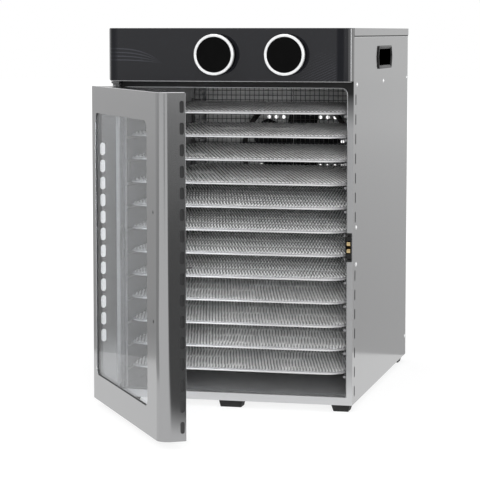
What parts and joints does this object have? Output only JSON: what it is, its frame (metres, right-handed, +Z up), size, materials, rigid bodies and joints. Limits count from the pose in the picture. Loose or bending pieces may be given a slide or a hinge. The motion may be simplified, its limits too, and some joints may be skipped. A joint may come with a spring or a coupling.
{
  "type": "food dehydrator",
  "caption": "Stainless steel cabinet food dehydrator with a hinged glass door, sliding mesh trays, a rear fan and a black control panel with two dials.",
  "frame": {"origin": "on the floor under the middle of the whole object's bounding box, with the door standing open as stored", "axes": "+Z up, +X to the right seen from the front, +Y towards the back; the door's side faces -Y"},
  "size_m": [0.373, 0.7914, 0.5365],
  "materials": {
    "stainless": "brushed",
    "chamber_steel": "polished",
    "galvanised_steel": "zinc coated",
    "wire_steel": "bright wire",
    "tray_mesh": "woven stainless",
    "pin_steel": "plated",
    "gloss_black": "high gloss",
    "dial_black": "satin black",
    "black_plastic": "moulded",
    "chrome": "bright",
    "rubber": "matt",
    "seal_rubber": "matt",
    "glass": "clear tempered",
    "brass": "bright",
    "motor_iron": "laminated",
    "heater_tube": "heat darkened",
    "fan_black": "black coat"
  },
  "bodies": {
    "cabinet": {"base_pan": "galvanised_steel", "side_panel_left": "stainless", "side_panel_right": "stainless", "back_panel": "stainless", "top_cover": "stainless", "front_frame": "stainless", "liner_left": "chamber_steel", "liner_right": "chamber_steel", "liner_ceiling": "chamber_steel", "chamber_floor": "chamber_steel", "fan_guard": "wire_steel", "tray_rack_left": "wire_steel", "tray_rack_right": "wire_steel", "control_fascia": "gloss_black", "controls_bracket": "galvanised_steel", "timer": "black_plastic", "thermostat": "black_plastic", "fan_motor": "motor_iron", "motor_bracket": "galvanised_steel", "heating_element": "heater_tube", "thermal_cutout": "black_plastic", "side_handle_left": "black_plastic", "side_handle_right": "black_plastic", "power_inlet": "black_plastic", "catch_housing": "black_plastic", "hinge_brackets": "stainless", "hinge_pins": "pin_steel", "corner_feet": "rubber", "centre_foot": "rubber", "panel_screws": "pin_steel"},
    "door": {"door_skin": "stainless", "door_glass": "glass", "glass_seal": "seal_rubber", "glass_retainer": "stainless", "door_strike": "pin_steel", "handle_rivet_nuts": "pin_steel", "hinge_bushes": "brass"},
    "fan": {"fan_blade": "fan_black", "fan_shaft": "pin_steel", "fan_nut": "pin_steel"},
    "timer_dial": {"timer_dial": "dial_black", "timer_dial_ring": "chrome"},
    "thermostat_dial": {"thermostat_dial": "dial_black", "thermostat_dial_ring": "chrome"},
    "catch_arm_upper": {"catch_arm_upper": "black_plastic"},
    "catch_roller_upper": {"catch_roller_upper": "brass"},
    "catch_arm_lower": {"catch_arm_lower": "black_plastic"},
    "catch_roller_lower": {"catch_roller_lower": "brass"},
    "tray_01": {"tray_01": "tray_mesh"},
    "tray_02": {"tray_02": "tray_mesh"},
    "tray_03": {"tray_03": "tray_mesh"},
    "tray_04": {"tray_04": "tray_mesh"},
    "tray_05": {"tray_05": "tray_mesh"},
    "tray_06": {"tray_06": "tray_mesh"},
    "tray_07": {"tray_07": "tray_mesh"},
    "tray_08": {"tray_08": "tray_mesh"},
    "tray_09": {"tray_09": "tray_mesh"},
    "tray_10": {"tray_10": "tray_mesh"},
    "tray_11": {"tray_11": "tray_mesh"},
    "tray_12": {"tray_12": "tray_mesh"}
  },
  "joints": [
    {"name": "door_swing", "type": "hinge", "parent": "cabinet", "child": "door", "pos_m": [-0.15701, -0.09449, 0.2735], "axis": [0, 0, -1], "range_deg": [-58.4, 51.6]},
    {"name": "timer_turn", "type": "hinge", "parent": "cabinet", "child": "timer_dial", "pos_m": [-0.00301, -0.11449, 0.5], "axis": [0, 1, 0], "range_deg": [0, 300]},
    {"name": "thermostat_turn", "type": "hinge", "parent": "cabinet", "child": "thermostat_dial", "pos_m": [0.09629, -0.11449, 0.5], "axis": [0, 1, 0], "range_deg": [0, 270]},
    {"name": "fan_spin", "type": "hinge", "parent": "cabinet", "child": "fan", "pos_m": [0.01229, 0.33871, 0.3405], "axis": [0, 1, 0], "continuous": true},
    {"name": "catch_spring_upper", "type": "slide", "parent": "cabinet", "child": "catch_arm_upper", "axis": [0, 0, 1], "range_m": [0, 0.0012], "stiffness_N_per_m": 3000, "springref_m": -0.0005},
    {"name": "catch_roller_upper_spin", "type": "hinge", "parent": "catch_arm_upper", "child": "catch_roller_upper", "pos_m": [0.17879, -0.08749, 0.23805], "axis": [1, 0, 0], "continuous": true},
    {"name": "catch_spring_lower", "type": "slide", "parent": "cabinet", "child": "catch_arm_lower", "axis": [0, 0, -1], "range_m": [0, 0.0012], "stiffness_N_per_m": 3000, "springref_m": -0.0005},
    {"name": "catch_roller_lower_spin", "type": "hinge", "parent": "catch_arm_lower", "child": "catch_roller_lower", "pos_m": [0.17879, -0.08749, 0.22805], "axis": [1, 0, 0], "continuous": true},
    {"name": "tray_01_slide", "type": "slide", "parent": "cabinet", "child": "tray_01", "axis": [0, -1, 0], "range_m": [0, 0.048]},
    {"name": "tray_02_slide", "type": "slide", "parent": "cabinet", "child": "tray_02", "axis": [0, -1, 0], "range_m": [0, 0.048]},
    {"name": "tray_03_slide", "type": "slide", "parent": "cabinet", "child": "tray_03", "axis": [0, -1, 0], "range_m": [0, 0.048]},
    {"name": "tray_04_slide", "type": "slide", "parent": "cabinet", "child": "tray_04", "axis": [0, -1, 0], "range_m": [0, 0.048]},
    {"name": "tray_05_slide", "type": "slide", "parent": "cabinet", "child": "tray_05", "axis": [0, -1, 0], "range_m": [0, 0.048]},
    {"name": "tray_06_slide", "type": "slide", "parent": "cabinet", "child": "tray_06", "axis": [0, -1, 0], "range_m": [0, 0.048]},
    {"name": "tray_07_slide", "type": "slide", "parent": "cabinet", "child": "tray_07", "axis": [0, -1, 0], "range_m": [0, 0.048]},
    {"name": "tray_08_slide", "type": "slide", "parent": "cabinet", "child": "tray_08", "axis": [0, -1, 0], "range_m": [0, 0.048]},
    {"name": "tray_09_slide", "type": "slide", "parent": "cabinet", "child": "tray_09", "axis": [0, -1, 0], "range_m": [0, 0.048]},
    {"name": "tray_10_slide", "type": "slide", "parent": "cabinet", "child": "tray_10", "axis": [0, -1, 0], "range_m": [0, 0.048]},
    {"name": "tray_11_slide", "type": "slide", "parent": "cabinet", "child": "tray_11", "axis": [0, -1, 0], "range_m": [0, 0.048]},
    {"name": "tray_12_slide", "type": "slide", "parent": "cabinet", "child": "tray_12", "axis": [0, -1, 0], "range_m": [0, 0.048]}
  ]
}
